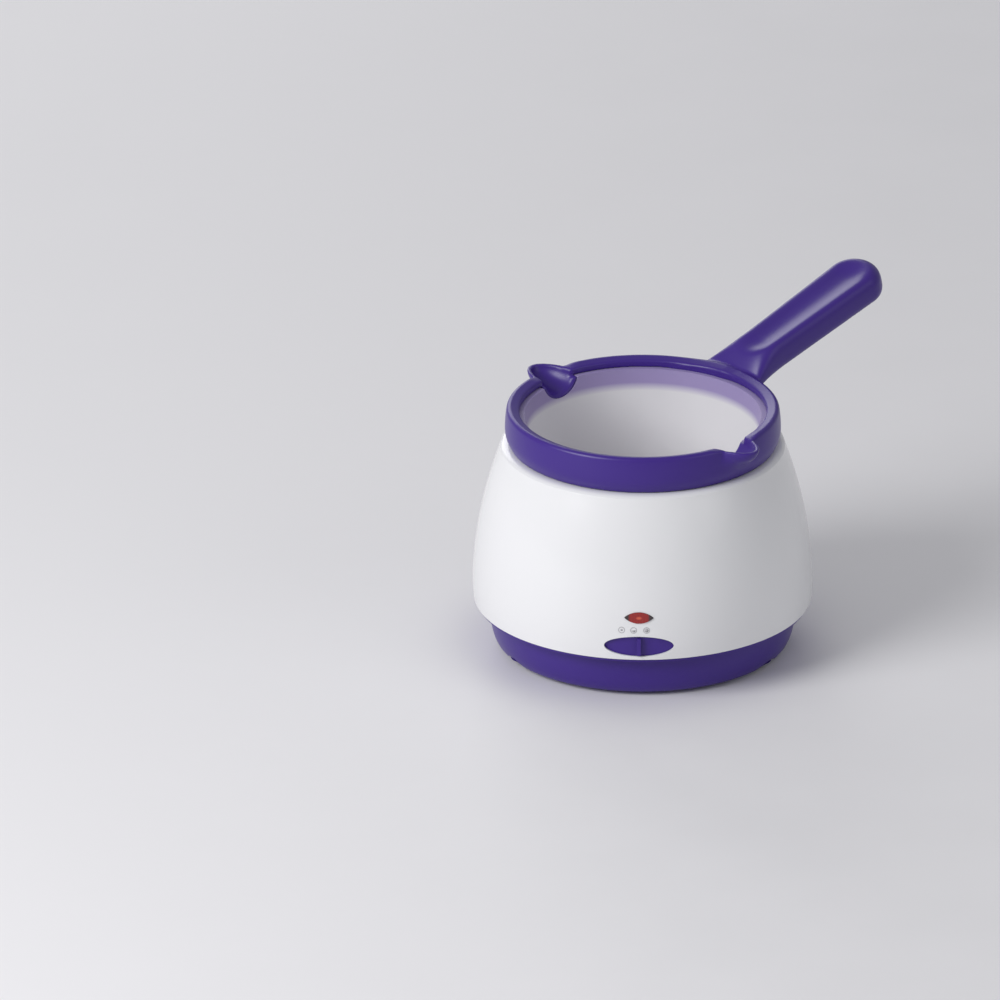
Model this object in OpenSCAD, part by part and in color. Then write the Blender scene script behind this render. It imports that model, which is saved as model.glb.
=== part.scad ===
// Electric chocolate melting pot: a heated base and a lift-out pot.
// Millimetres, +Z up, front towards -Y. The origin is on the pot's axis,
// on the flat underside of the base pan. The rubber feet reach below it.

/* [Pot] */
// Inside radius of the silicone liner at its rim
pot_top_r = 57.5; // [52:0.5:66]
// Inside radius that the liner's wall would have at the floor
pot_floor_r = 45; // [38:0.5:50]
// Inside depth of the liner
pot_depth = 85.3; // [70:0.5:105]
// Inside corner radius between the liner's floor and wall
pot_corner_r = 10; // [6:0.5:14]
// Wall of the silicone liner
liner_wall = 2.2; // [1.6:0.1:3]
// Floor of the silicone liner
liner_floor = 2.6; // [2:0.1:4]
// Gap between the liner and the metal well
pot_gap = 0.4; // [0.2:0.05:0.8]

/* [Collar] */
// Width of the collar, from the liner's inside to its widest
collar_w = 9.4; // [8.6:0.1:12]
// Height of the liner's rim above the housing's seat
rim_rise = 14; // [12:0.5:18]
// Height of the collar's crest above the liner's rim
crest_h = 5.1; // [4:0.1:8]
// Gap between the collar and the housing's seat
collar_gap = 0.3; // [0.1:0.05:0.5]
// Direction of the handle, from +X towards +Y
handle_az = 46; // [30:1:60]
// Reach of the handle's tip from the pot's axis
handle_reach = 157; // [140:1:185]
// Slope of the handle
handle_slope = 15.4; // [5:0.1:20]
// Width of the handle at its slimmest
handle_w = 24.8; // [20:0.2:29]
// Width of the handle at its tip
handle_tip_w = 29.5; // [22:0.5:34]
// Depth of the handle
handle_h = 18.8; // [15:0.2:22]
// Inside radius of the pouring scoops
scoop_r = 10.4; // [8:0.1:12]
// Wall of the pouring scoops
scoop_wall = 1.7; // [1.2:0.1:2.5]

/* [Housing] */
// Radius of the housing at its widest
housing_r = 82.5; // [78:0.5:96]
// Wall of the housing
housing_wall = 2.4; // [1.8:0.1:3.2]
// Height of the housing's lower edge
housing_bottom = 22; // [18:0.5:24]
// Height of the widest place above the lower edge
widest_rise = 9; // [5:0.5:14]
// Rounding of the housing's shoulder
shoulder_round = 2.5; // [1.5:0.1:3.5]

/* [Base pan] */
// Radius of the pan's flat underside
pan_foot_r = 64; // [58:0.5:70]
// Radius of the pan's wall under its flange
pan_r = 74.6; // [72:0.2:78]
// Wall of the pan
pan_wall = 2.2; // [1.6:0.1:3]
// Distance of the feet from the axis
foot_at_r = 61; // [56:0.5:63]
// Angle of the feet from the X axis
foot_az = 30; // [22:1:38]
// Radius of a rubber foot
foot_r = 7; // [5:0.1:8]
// Height of the feet below the pan
foot_drop = 2; // [1:0.1:4]

/* [Heater] */
// Wall of the metal well
well_wall = 1.2; // [0.8:0.1:2]
// Height of the well's underside
well_bottom = 26.5; // [24:0.5:30]
// Radius of the heating disc
element_r = 36; // [30:0.5:38]
// Thickness of the heating disc
element_t = 1.2; // [0.8:0.1:2]
// Thickness of the insulating pad
pad_t = 2.5; // [1.5:0.1:3]
// Thickness of the clamp plate
clamp_t = 1.2; // [0.8:0.1:2]
// Distance of the clamp's posts from the axis
post_at_r = 50; // [47:0.5:52]

/* [Controls] */
// Width of the selector's oval window
window_w = 33.7; // [28:0.1:40]
// Height of the selector's oval window
window_h = 10.5; // [9:0.1:11.5]
// Height of the window's centre above the housing's lower edge
window_rise = 7; // [6.5:0.1:9]
// Swing of the selector each way, in degrees
selector_swing = 4.4; // [3:0.1:5]
// Width of the indicator lens
lens_w = 14.3; // [12:0.1:17]
// Height of the indicator lens
lens_h = 5.6; // [4.5:0.1:6.5]
// Height of the lens's centre above the window's centre
lens_rise = 15; // [13:0.5:20]

/* [Hidden] */

// Shared values
overrun = 1;
exact_fn = 96;
fit = 0.15;

// Pot: one wall line and one floor corner serve liner and well alike
liner_floor_z = well_bottom + well_wall + pot_gap + liner_floor;
rim_z = liner_floor_z + pot_depth;
seat_z = rim_z - rim_rise;
draft = atan((pot_top_r - pot_floor_r) / pot_depth);

// Radius of the wall at height z, skin mm outside the liner's inner face
function bowl_r(z, skin) =
    pot_floor_r + (z - liner_floor_z) * tan(draft) + skin / cos(draft);

// Curve from the axis along the floor, round the corner and up to height top
function bowl(skin, sag, top) =
    let (corner_x = pot_floor_r - pot_corner_r * (1 - sin(draft)) / cos(draft),
         corner_z = liner_floor_z + pot_corner_r,
         r = pot_corner_r + skin,
         steps = 6)
    concat([[0, liner_floor_z - sag]],
           [for (i = [0:steps])
                let (a = -90 + i * (90 - draft) / steps,
                     flat = i == 0 ? liner_floor_z - sag : corner_z + r * sin(a))
                [corner_x + r * cos(a), min(flat, corner_z + r * sin(a) + skin)]],
           [[bowl_r(top, skin), top]]);

// Collar section
bead_t = 2.8;
bead_reach = 3;
bead_fit = 0.25;
crest_z = rim_z + crest_h;
collar_bottom = seat_z + collar_gap;
collar_out_r = pot_top_r + collar_w;
collar_mid_r = collar_out_r - 4.5;
collar_wide_z = collar_bottom + 7.5;
collar_lip_r = pot_top_r + 1.4;
collar_foot_drop = 9.2;
skirt_r = pot_top_r + liner_wall + 0.5;
groove_r = pot_top_r + liner_wall + bead_reach + bead_fit;

// Scoops: a ball-nosed gutter whose axis lies level with the crest
scoop_at = [handle_az + 90, handle_az - 90];
scoop_nose_r = collar_out_r - 2.2;
scoop_z = crest_z - 0.7;
scoop_rim = 1.2;
tongue_r = pot_top_r - 0.1;

// Handle
handle_root_r = collar_mid_r + 3;
handle_sink = handle_h / 2;
handle_flare_share = 1.5;
handle_flare_l = 20;
handle_len = (handle_reach - handle_root_r) / cos(handle_slope);
handle_end_l = 13;
dish_depth = 3.6;
dish_edge = 1.8;
dish_start = 5;
dish_end_gap = 5;
channel_wall = 2.6;
channel_floor = 7;
channel_start = 14;
channel_end_gap = 9;
channel_ribs = 4;
channel_rib_t = 1.6;

// Housing
widest_z = housing_bottom + widest_rise;
housing_foot_in = 0.5;
shoulder_step = 2.3;
shoulder_r = collar_out_r + shoulder_step;
shoulder_z = seat_z - shoulder_round;
seat_edge_r = collar_out_r - 1.4;
housing_bend = 1.87;
well_outer_skin = liner_wall + pot_gap + well_wall;
flange_w = 4.1;
flange_r = bowl_r(seat_z, well_outer_skin) + flange_w;
opening_r = bowl_r(seat_z, well_outer_skin) + 0.7;
skirt_drop = 8;
boss_r = 4.2;
boss_rise = 18;
boss_rib_t = 2;

function housing_r_at(z) =
    z < widest_z
    ? housing_r - housing_foot_in * pow((widest_z - z) / widest_rise, 2)
    : housing_r - (housing_r - shoulder_r)
      * pow((z - widest_z) / (shoulder_z - widest_z), housing_bend);

// Base pan
pan_flange_t = 1.5;
pan_h = housing_bottom - pan_flange_t;
pan_flange_r = housing_r - 1.5;
spigot_t = 1.8;
spigot_h = 3;
spigot_fit = 0.3;
spigot_gap_end = 3;
spigot_r = housing_r_at(housing_bottom) - housing_wall - spigot_fit;
pedestal_r = foot_r + 1.6;
pedestal_h = 10;
foot_seat = 1.5;
foot_fit = 0.25;
vent_count = 12;
vent_w = 2;
vent_l = 14;
vent_at_r = 26;

// Screws: 3 mm in the housing and clamp, 2.5 mm in the brackets
screw_r = 1.45;
screw_head_r = 2.9;
screw_head_h = 2.2;
screw_l = 14;
pilot_fit = 0.05;
screw_hole_fit = 0.3;
head_fit = 0.4;
head_seat_z = 7.5;
small_screw_r = 1.2;
small_head_r = 2.2;
small_head_h = 1.5;
small_screw_l = 5.5;

// Heater stack, from the well downwards
element_z = well_bottom - element_t;
pad_z = element_z - pad_t;
clamp_z = pad_z - clamp_t;
stud_r = 1.5;
stud_at_r = 29;
stud_l = 8.6;
nut_flats = 5.5;
nut_h = 2.4;
clamp_disc_r = element_r + 2;
clamp_arm_w = 10;
post_r = 4;
post_az = [60, 180, 300];
stud_az = [0, 120, 240];
clamp_screw_l = 8;
thermostat_x = 14;
thermostat_cap_r = 7.9;
thermostat_body_r = 7.4;
thermostat_body_h = 8;
thermostat_flange = [23, 9, 0.6];
thermostat_tab = [0.8, 6.3, 7];
thermostat_tab_x = 4.5;
fuse_r = 2;
fuse_l = 12;
fuse_y = 22;
fuse_clip_t = 0.6;
fuse_clip_w = 6;
fuse_clip_l = 14;

// Selector, its guide and the switch
window_z = housing_bottom + window_rise;
pocket_r = housing_r - 1.4;
plate_t = 1.6;
plate_fit = 0.2;
plate_r = pocket_r - plate_fit;
plate_edge = 1.2;
plate_h = window_h + 2 * plate_edge;
window_az = asin(window_w / 2 / plate_r);
plate_az = window_az + selector_swing + 1.2;
ridge_w = 1.9;
ridge_end_gap = 0.85;
ridge_proud = 0.9;
guide_y = pocket_r - 13.1;
guide_t = 1.6;
guide_w = 76;
guide_h = 12.4;
guide_rail_h = 1.8;
guide_rail_w = 34;
guide_screw_x = 33;
guide_boss_r = 3;
toggle_w = 3;
toggle_h = 4;
toggle_reach = 5.5;
toggle_fit = 0.25;
engage_r = guide_y + 3.9;
toggle_travel = engage_r * tan(selector_swing);
tine_t = 1.7;
tine_h = 5;
tine_inner_y = guide_y + 2.2;
switch_size = [32, 8.5, 9];
switch_frame_t = 0.8;
switch_pin = [0.6, 4, 2.4];
switch_pin_pitch = 6;
switch_pins = 4;

// Indicator
lens_z = window_z + lens_rise;
lens_proud = 0.5;
lens_flange = 1.6;
lens_back_y = housing_r_at(lens_z) - housing_wall - 4.6;
lens_tube_r = 3.9;
lens_tube_l = 5.5;
lamp_r = 2.3;
lamp_fit = 0.25;
lamp_l = 8.5;
retainer_t = 1.5;
retainer_h = 9;
retainer_screw_x = 14.5;
retainer_end = 3.6;
retainer_boss_r = 2.8;
pilot_end = 0.3;
retainer_pilot_l = small_screw_l - retainer_t + pilot_end;

// Cord entry at the back
gland_rise = 12.5;
gland_z = housing_bottom + gland_rise;
gland_bore_r = 3.3;
gland_neck_r = 5;
gland_flange_r = 7.2;
gland_flange_t = 2;
gland_l = 13;
gland_lip_t = 1.8;

// Terminal block behind the well
block_size = [20, 11, 11];
block_at = [-24, 50];
block_bore_r = 1.8;
block_screw_r = 1.7;
block_pitch = 9;

// Wiring
lead_r = 1.1;
lead_sides = 8;
lead_gap = 0.3;
lead_floor_z = pan_wall + lead_r + 1.2;

module ring_of(angles, r) {
    for (a = angles) rotate([0, 0, a]) translate([r, 0, 0]) children();
}

function feet_az() = [foot_az, 180 - foot_az, 180 + foot_az, -foot_az];

// Lays what is drawn along +Z down along the front's outward direction, -Y
module facing_front(y, z) {
    translate([0, -y, z]) rotate([90, 0, 0]) children();
}

module oval(w, h) {
    polygon([for (a = [0:6:354]) [w / 2 * cos(a), h / 2 * sin(a)]]);
}

module eye(w, h) {
    r = (w * w + h * h) / (4 * h);
    intersection() {
        translate([0, h / 2 - r]) circle(r, $fn = exact_fn);
        translate([0, r - h / 2]) circle(r, $fn = exact_fn);
    }
}

module housing_curve(skin) {
    steps = 14;
    rise = shoulder_z - housing_bottom;
    polygon(concat(
        [[0, housing_bottom]],
        [for (i = [0:steps])
             let (z = housing_bottom + rise * i / steps)
             [housing_r_at(z) + skin, z]],
        [[0, shoulder_z]]));
}

module housing_section() {
    steps = 14;
    rise = shoulder_z - housing_bottom;
    inner_top = shoulder_z - housing_wall;
    inner_rise = inner_top - housing_bottom;
    polygon(concat(
        [for (i = [0:steps])
             let (z = housing_bottom + rise * i / steps)
             [housing_r_at(z), z]],
        [for (a = [22.5:22.5:90])
             [seat_edge_r + (shoulder_r - seat_edge_r) * cos(a),
              shoulder_z + shoulder_round * sin(a)]],
        [[flange_r + fit, seat_z],
         [flange_r + fit, seat_z - well_wall],
         [opening_r, seat_z - well_wall],
         [opening_r, seat_z - skirt_drop],
         [opening_r + housing_wall, seat_z - skirt_drop],
         [opening_r + housing_wall, inner_top]],
        [for (i = [steps:-1:0])
             let (z = housing_bottom + inner_rise * i / steps)
             [housing_r_at(z) - housing_wall, z]]));
}

// Everything inside the housing's inner face, used to trim bosses and ribs
module housing_inside() {
    rotate_extrude($fn = exact_fn) housing_curve(-housing_wall / 2);
}

module outer_housing() {
    boss_l = boss_rise + widest_z - pedestal_h;
    color([0.93, 0.93, 0.94]) difference() {
        union() {
            rotate_extrude($fn = exact_fn) housing_section();
            ring_of(feet_az(), foot_at_r)
                translate([0, 0, pedestal_h]) cylinder(r = boss_r, h = boss_l, $fn = exact_fn);
            intersection() {
                housing_inside();
                union() {
                    ring_of(feet_az(), foot_at_r)
                        translate([0, -boss_rib_t / 2, widest_z])
                            cube([housing_r, boss_rib_t, boss_rise]);
                    for (x = [-guide_screw_x, guide_screw_x])
                        translate([x, 0, 0]) facing_front(guide_y, window_z)
                            cylinder(r = guide_boss_r, h = housing_r, $fn = exact_fn);
                    for (x = [-retainer_screw_x, retainer_screw_x])
                        translate([x, 0, 0]) facing_front(lens_back_y, lens_z)
                            cylinder(r = retainer_boss_r, h = housing_r, $fn = exact_fn);
                }
            }
        }
        ring_of(feet_az(), foot_at_r)
            translate([0, 0, pedestal_h - overrun])
                cylinder(r = screw_r + pilot_fit, h = screw_l, $fn = exact_fn);
        for (x = [-guide_screw_x, guide_screw_x])
            translate([x, 0, 0]) facing_front(guide_y - overrun, window_z)
                cylinder(r = small_screw_r + pilot_fit, h = small_screw_l + overrun, $fn = exact_fn);
        for (x = [-retainer_screw_x, retainer_screw_x])
            translate([x, 0, 0]) facing_front(lens_back_y - overrun, lens_z)
                cylinder(r = small_screw_r + pilot_fit, h = retainer_pilot_l + overrun, $fn = exact_fn);
        selector_pocket();
        facing_front(guide_y, window_z)
            linear_extrude(housing_r) oval(window_w, window_h);
        facing_front(guide_y, lens_z)
            linear_extrude(housing_r) eye(lens_w, lens_h);
        translate([0, 0, gland_z]) rotate([-90, 0, 0])
            cylinder(r = gland_neck_r, h = housing_r + overrun, $fn = exact_fn);
    }
}

// Track for the selector's plate, sunk into the housing's inner face
module selector_pocket() {
    span = 2 * (plate_az + selector_swing) + 2;
    half_h = plate_h / 2 + plate_fit;
    rotate([0, 0, -90 - span / 2])
        rotate_extrude(angle = span, $fn = exact_fn)
            translate([guide_y + 6, window_z - half_h])
                square([pocket_r - guide_y - 6, 2 * half_h]);
}

module pan_section() {
    steps = 8;
    inner_r = pan_r - pan_wall;
    inner_foot_r = pan_foot_r - pan_wall / 2;
    polygon(concat(
        [[0, 0]],
        [for (i = [0:steps])
             let (a = 90 * i / steps)
             [pan_foot_r + (pan_r - pan_foot_r) * sin(a), pan_h * (1 - cos(a))]],
        [[pan_flange_r, pan_h],
         [pan_flange_r, housing_bottom],
         [spigot_r, housing_bottom],
         [spigot_r, housing_bottom + spigot_h],
         [spigot_r - spigot_t, housing_bottom + spigot_h],
         [spigot_r - spigot_t, housing_bottom]],
        [for (i = [steps:-1:0])
             let (a = 90 * i / steps)
             [inner_foot_r + (inner_r - inner_foot_r) * sin(a),
              pan_wall + (housing_bottom - pan_wall) * (1 - cos(a))]],
        [[0, pan_wall]]));
}

module base_pan() {
    gap_w = guide_w + 2 * spigot_gap_end;
    color([0.27, 0.17, 0.58]) difference() {
        union() {
            rotate_extrude($fn = exact_fn) pan_section();
            ring_of(feet_az(), foot_at_r) cylinder(r = pedestal_r, h = pedestal_h, $fn = exact_fn);
            ring_of(post_az, post_at_r) cylinder(r = post_r, h = clamp_z, $fn = exact_fn);
            block_rests();
        }
        ring_of(feet_az(), foot_at_r) {
            translate([0, 0, -overrun])
                cylinder(r = foot_r + foot_fit, h = foot_seat + overrun, $fn = exact_fn);
            cylinder(r = screw_head_r + head_fit, h = head_seat_z, $fn = exact_fn);
            cylinder(r = screw_r + screw_hole_fit, h = pedestal_h + overrun, $fn = exact_fn);
        }
        ring_of(post_az, post_at_r)
            translate([0, 0, clamp_z - clamp_screw_l])
                cylinder(r = screw_r + pilot_fit, h = clamp_screw_l + overrun, $fn = exact_fn);
        for (i = [0:vent_count - 1])
            rotate([0, 0, (i + 0.5) * 360 / vent_count])
                translate([vent_at_r, -vent_w / 2, -overrun])
                    cube([vent_l, vent_w, pan_wall + 2 * overrun]);
        translate([-gap_w / 2, -housing_r, housing_bottom])
            cube([gap_w, housing_r / 2, spigot_h + overrun]);
    }
}

module rubber_feet() {
    chamfer = foot_drop / 2;
    color([0.08, 0.08, 0.09]) ring_of(feet_az(), foot_at_r)
        rotate_extrude($fn = exact_fn)
            polygon([[0, -foot_drop], [foot_r - chamfer, -foot_drop],
                     [foot_r, chamfer - foot_drop], [foot_r, foot_seat], [0, foot_seat]]);
}

// Pan-head screw with its seat at z = 0 and its shank towards +Z
module screw(r, l, head_r, head_h) {
    slot_w = head_r / 3;
    difference() {
        union() {
            cylinder(r = r, h = l, $fn = exact_fn);
            translate([0, 0, -head_h]) cylinder(r1 = head_r * 0.8, r2 = head_r, h = head_h, $fn = exact_fn);
        }
        for (a = [0, 90]) rotate([0, 0, a])
            translate([-head_r / 2, -slot_w / 2, -head_h - overrun])
                cube([head_r, slot_w, head_h / 2 + overrun]);
    }
}

module housing_screws() {
    color([0.7, 0.7, 0.72]) ring_of(feet_az(), foot_at_r)
        translate([0, 0, head_seat_z])
            screw(screw_r, screw_l, screw_head_r, screw_head_h);
}

module well_section() {
    inner = bowl(liner_wall + pot_gap, liner_floor + pot_gap, seat_z);
    outer = bowl(well_outer_skin, liner_floor + pot_gap + well_wall, seat_z - well_wall);
    polygon(concat(
        outer,
        [[flange_r, seat_z - well_wall], [flange_r, seat_z]],
        [for (i = [len(inner) - 1:-1:0]) inner[i]]));
}

module heating_well() {
    color([0.72, 0.73, 0.74]) union() {
        rotate_extrude($fn = exact_fn) well_section();
        ring_of(stud_az, stud_at_r)
            translate([0, 0, well_bottom - stud_l])
                cylinder(r = stud_r, h = stud_l + well_wall / 2, $fn = exact_fn);
    }
}

// Holes for the studs and the thermostats, which each layer shares
module stack_holes() {
    for (a = stud_az) rotate([0, 0, a]) translate([stud_at_r, 0]) circle(stud_r + 0.2, $fn = exact_fn);
    for (x = [-thermostat_x, thermostat_x])
        translate([x, 0]) circle(thermostat_cap_r + 0.3, $fn = exact_fn);
}

module heating_element() {
    tab = [7, 5];
    color([0.78, 0.7, 0.52]) translate([0, 0, element_z]) linear_extrude(element_t) difference() {
        union() {
            circle(element_r, $fn = exact_fn);
            for (x = [-tab[0], tab[0]])
                translate([x - tab[1] / 2, element_r - tab[1]]) square([tab[1], tab[0] + tab[1]]);
        }
        stack_holes();
    }
}

module insulation_pad() {
    color([0.9, 0.89, 0.84]) translate([0, 0, pad_z]) linear_extrude(pad_t) difference() {
        circle(element_r, $fn = exact_fn);
        stack_holes();
    }
}

module heater_clamp() {
    color([0.62, 0.63, 0.65]) translate([0, 0, clamp_z]) linear_extrude(clamp_t) difference() {
        union() {
            circle(clamp_disc_r, $fn = exact_fn);
            for (a = post_az) rotate([0, 0, a]) {
                translate([0, -clamp_arm_w / 2]) square([post_at_r, clamp_arm_w]);
                translate([post_at_r, 0]) circle(clamp_arm_w / 2, $fn = exact_fn);
            }
        }
        stack_holes();
        for (a = post_az) rotate([0, 0, a])
            translate([post_at_r, 0]) circle(screw_r + screw_hole_fit, $fn = exact_fn);
    }
}

module clamp_nuts() {
    corner_r = nut_flats / sqrt(3);
    color([0.7, 0.7, 0.72]) ring_of(stud_az, stud_at_r)
        translate([0, 0, clamp_z - nut_h]) difference() {
            cylinder(r = corner_r, h = nut_h, $fn = 6);
            translate([0, 0, -overrun])
                cylinder(r = stud_r + pilot_fit, h = nut_h + 2 * overrun, $fn = exact_fn);
        }
}

module clamp_screws() {
    color([0.7, 0.7, 0.72]) ring_of(post_az, post_at_r)
        translate([0, 0, clamp_z + clamp_t]) mirror([0, 0, 1])
            screw(screw_r, clamp_screw_l, screw_head_r, screw_head_h);
}

// Bimetal disc thermostat: its cap touches the well through the layers
module thermostat() {
    cap_h = well_bottom - clamp_z + thermostat_flange[2];
    union() {
        translate([0, 0, clamp_z - thermostat_flange[2]]) cylinder(r = thermostat_cap_r, h = cap_h, $fn = exact_fn);
        translate([-thermostat_flange[1] / 2, -thermostat_flange[0] / 2, clamp_z - thermostat_flange[2]])
            cube([thermostat_flange[1], thermostat_flange[0], thermostat_flange[2]]);
        translate([0, 0, clamp_z - thermostat_flange[2] - thermostat_body_h])
            cylinder(r = thermostat_body_r, h = thermostat_body_h + overrun / 2, $fn = exact_fn);
        for (x = [-thermostat_tab_x, thermostat_tab_x])
            translate([x - thermostat_tab[0] / 2, -thermostat_tab[1] / 2,
                       clamp_z - thermostat_flange[2] - thermostat_body_h - thermostat_tab[2] / 2])
                cube(thermostat_tab);
    }
}

module melt_thermostat() {
    color([0.35, 0.22, 0.14]) translate([thermostat_x, 0, 0]) thermostat();
}

module warm_thermostat() {
    color([0.35, 0.22, 0.14]) translate([-thermostat_x, 0, 0]) thermostat();
}

// The fuse lies along X under the clamp plate
fuse_z = clamp_z - fuse_clip_t - fuse_r;

module thermal_fuse() {
    color([0.85, 0.86, 0.88]) translate([-fuse_l / 2, fuse_y, fuse_z])
        rotate([0, 90, 0]) cylinder(r = fuse_r, h = fuse_l, $fn = exact_fn);
}

module fuse_clip() {
    bow_r = fuse_r + fuse_clip_t + pilot_fit;
    color([0.7, 0.7, 0.72]) difference() {
        union() {
            translate([-fuse_clip_w / 2, fuse_y, fuse_z])
                rotate([0, 90, 0]) cylinder(r = bow_r, h = fuse_clip_w, $fn = exact_fn);
            translate([-fuse_clip_w / 2, fuse_y - fuse_clip_l / 2, clamp_z - fuse_clip_t])
                cube([fuse_clip_w, fuse_clip_l, fuse_clip_t]);
        }
        translate([-fuse_clip_w, fuse_y, fuse_z])
            rotate([0, 90, 0]) cylinder(r = fuse_r + pilot_fit, h = 2 * fuse_clip_w, $fn = exact_fn);
        translate([-fuse_clip_w, fuse_y - fuse_clip_l, clamp_z])
            cube([2 * fuse_clip_w, 2 * fuse_clip_l, overrun]);
    }
}

module block_rests() {
    translate([block_at[0] - block_size[0] / 2, block_at[1] - block_size[1] / 2, 0])
        cube([block_size[0], block_size[1], pan_wall + 2]);
}

module terminal_block() {
    z = pan_wall + 2;
    color([0.88, 0.86, 0.8]) translate([block_at[0], block_at[1], z]) difference() {
        translate([-block_size[0] / 2, -block_size[1] / 2, 0]) cube(block_size);
        for (x = [-block_pitch / 2, block_pitch / 2]) {
            translate([x, -block_size[1], block_size[2] / 2]) rotate([-90, 0, 0])
                cylinder(r = block_bore_r, h = 2 * block_size[1], $fn = exact_fn);
            for (y = [-block_size[1] / 4, block_size[1] / 4])
                translate([x, y, block_size[2] / 2])
                    cylinder(r = block_screw_r, h = block_size[2], $fn = exact_fn);
        }
    }
}

module cord_gland() {
    wall_out = housing_r_at(gland_z);
    wall_in = wall_out - housing_wall;
    out_y = wall_out + gland_flange_t;
    color([0.1, 0.1, 0.11]) translate([0, 0, gland_z]) rotate([-90, 0, 0])
        rotate_extrude($fn = exact_fn)
            polygon([[gland_bore_r, out_y], [gland_bore_r, out_y - gland_l],
                     [gland_neck_r, out_y - gland_l],
                     [gland_flange_r, wall_in - gland_lip_t - 0.4],
                     [gland_flange_r, wall_in - 0.4],
                     [gland_neck_r - 0.1, wall_in - 0.4],
                     [gland_neck_r - 0.1, wall_out + 0.1],
                     [gland_flange_r, wall_out + 0.1],
                     [gland_flange_r, out_y - 0.7], [gland_flange_r - 0.7, out_y]]);
}

module switch_bracket() {
    rail_r = plate_r - plate_t - plate_fit;
    slot_w = 2 * (toggle_travel + toggle_w / 2 + 0.7);
    slot_h = toggle_h + 2;
    color([0.82, 0.82, 0.84]) difference() {
        union() {
            translate([-guide_w / 2, -guide_y, window_z - guide_h / 2])
                cube([guide_w, guide_t, guide_h]);
            intersection() {
                cylinder(r = rail_r, h = seat_z, $fn = exact_fn);
                for (z = [window_z - guide_h / 2, window_z + guide_h / 2 - guide_rail_h])
                    translate([-guide_rail_w / 2, -housing_r, z])
                        cube([guide_rail_w, housing_r - guide_y + guide_t / 2, guide_rail_h]);
            }
        }
        translate([-slot_w / 2, -guide_y - overrun, window_z - slot_h / 2])
            cube([slot_w, guide_t + 2 * overrun, slot_h]);
        for (x = [-guide_screw_x, guide_screw_x])
            translate([x, 0, 0]) facing_front(guide_y - guide_t - overrun, window_z)
                cylinder(r = small_screw_r + screw_hole_fit, h = guide_t + 2 * overrun, $fn = exact_fn);
    }
}

module switch_body() {
    back = guide_y - guide_t;
    color([0.16, 0.16, 0.17]) union() {
        difference() {
            translate([-switch_size[0] / 2, -back, window_z - switch_size[1] / 2]) cube(switch_size_y());
            translate([-toggle_travel - toggle_w / 2 - 0.5, -back - overrun, window_z - toggle_h / 2 - 0.3])
                cube([2 * toggle_travel + toggle_w + 1, 3 + overrun, toggle_h + 0.6]);
        }
        for (i = [0:switch_pins - 1])
            translate([(i - (switch_pins - 1) / 2) * switch_pin_pitch - switch_pin[2] / 2,
                       switch_size[2] - back - switch_pin[0],
                       window_z - switch_pin[0] / 2])
                cube([switch_pin[2], switch_pin[1] + switch_pin[0], switch_pin[0]]);
    }
}

function switch_size_y() = [switch_size[0], switch_size[2], switch_size[1]];

module switch_toggle() {
    back = guide_y - guide_t - 2.6;
    color([0.1, 0.1, 0.11]) translate([-toggle_w / 2, -guide_y - toggle_reach, window_z - toggle_h / 2])
        cube([toggle_w, guide_y + toggle_reach - back, toggle_h]);
}

module bracket_screws() {
    color([0.7, 0.7, 0.72]) {
        for (x = [-guide_screw_x, guide_screw_x])
            translate([x, 0, 0]) facing_front(guide_y - guide_t, window_z)
                screw(small_screw_r, small_screw_l, small_head_r, small_head_h);
        for (x = [-retainer_screw_x, retainer_screw_x])
            translate([x, 0, 0]) facing_front(lens_back_y - retainer_t, lens_z)
                screw(small_screw_r, small_screw_l, small_head_r, small_head_h);
    }
}

module selector_slider() {
    ridge_h = window_h - 2 * ridge_end_gap;
    tine_x = toggle_w / 2 + toggle_fit;
    tine_l = plate_r - plate_t / 2 - tine_inner_y;
    color([0.3, 0.19, 0.62]) union() {
        rotate([0, 0, -90 - plate_az])
            rotate_extrude(angle = 2 * plate_az, $fn = exact_fn)
                translate([plate_r - plate_t, window_z - plate_h / 2]) square([plate_t, plate_h]);
        translate([-ridge_w / 2, -housing_r - ridge_proud, window_z - ridge_h / 2])
            cube([ridge_w, housing_r + ridge_proud - plate_r + plate_t / 2, ridge_h]);
        for (side = [-1, 1])
            translate([side * (tine_x + tine_t / 2) - tine_t / 2, -tine_inner_y - tine_l, window_z - tine_h / 2])
                cube([tine_t, tine_l, tine_h]);
    }
}

module indicator_lens() {
    color([0.75, 0.05, 0.04]) difference() {
        union() {
            intersection() {
                rotate_extrude($fn = exact_fn) housing_curve(lens_proud);
                facing_front(lens_back_y, lens_z)
                    linear_extrude(housing_r) eye(lens_w - 2 * fit, lens_h - fit);
            }
            intersection() {
                rotate_extrude($fn = exact_fn) housing_curve(-housing_wall - fit);
                facing_front(lens_back_y, lens_z)
                    linear_extrude(housing_r)
                        eye(lens_w + 2 * lens_flange, lens_h + 2 * lens_flange);
            }
            facing_front(lens_back_y - lens_tube_l, lens_z)
                cylinder(r = lens_tube_r, h = lens_tube_l + 1, $fn = exact_fn);
        }
        facing_front(lens_back_y - lens_tube_l - overrun, lens_z)
            cylinder(r = lamp_r + lamp_fit, h = lamp_l + overrun, $fn = exact_fn);
    }
}

module lens_retainer() {
    half_w = retainer_screw_x + retainer_end;
    color([0.62, 0.63, 0.65]) facing_front(lens_back_y - retainer_t, lens_z) linear_extrude(retainer_t)
        difference() {
            translate([-half_w, -retainer_h / 2]) square([2 * half_w, retainer_h]);
            circle(lens_tube_r + 0.1, $fn = exact_fn);
            for (x = [-retainer_screw_x, retainer_screw_x])
                translate([x, 0]) circle(small_screw_r + screw_hole_fit, $fn = exact_fn);
        }
}

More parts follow.
